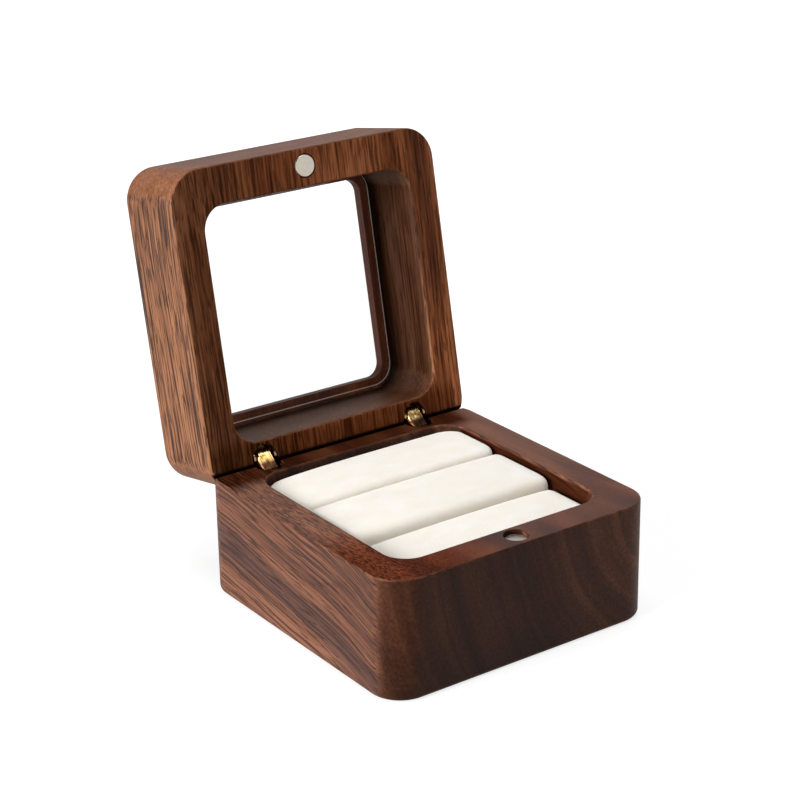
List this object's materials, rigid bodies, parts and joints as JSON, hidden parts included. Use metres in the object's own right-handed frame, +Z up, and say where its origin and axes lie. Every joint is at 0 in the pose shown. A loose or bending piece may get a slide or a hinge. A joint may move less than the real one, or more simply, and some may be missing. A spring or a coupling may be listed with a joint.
{
  "type": "ring box",
  "caption": "Small walnut ring box with a window lid on concealed brass barrel hinges, closed by magnets, with a velvet cushion whose rolls grip rings.",
  "frame": {"origin": "middle of the flat underside of the base", "axes": "+Z up, the front with the magnets faces -Y, the hinges are at +Y, +X is to the right seen from the front"},
  "size_m": [0.06, 0.0874, 0.0807],
  "materials": {
    "walnut": "oiled satin",
    "pane": "clear polished",
    "nickel": "satin nickel plate",
    "brass": "polished",
    "velvet": "short pile",
    "foam": "open cell"
  },
  "bodies": {
    "base": {"base_body": "walnut", "base_magnet": "nickel", "front_roll_foam": "foam", "middle_roll_foam": "foam", "back_roll_foam": "foam", "front_roll_velvet": "velvet", "middle_roll_velvet": "velvet", "back_roll_velvet": "velvet", "left_base_barrel": "brass", "right_base_barrel": "brass", "left_base_pin": "brass", "right_base_pin": "brass"},
    "hinge_links": {"left_link_plates": "brass", "right_link_plates": "brass"},
    "lid": {"lid_frame": "walnut", "window_pane": "pane", "lid_magnet": "nickel", "left_lid_barrel": "brass", "right_lid_barrel": "brass", "left_lid_pin": "brass", "right_lid_pin": "brass"}
  },
  "joints": [
    {"name": "base_pivot", "type": "hinge", "parent": "base", "child": "hinge_links", "pos_m": [0, 0.0263, 0.0219], "axis": [1, 0, 0], "range_deg": [0, 50.5]},
    {"name": "lid_pivot", "type": "hinge", "parent": "hinge_links", "child": "lid", "pos_m": [0, 0.02908, 0.02419], "axis": [1, 0, 0], "range_deg": [0, 50.5]}
  ],
  "couplings": [
    {"joint": "base_pivot", "follows": "lid_pivot", "ratio": 1}
  ]
}
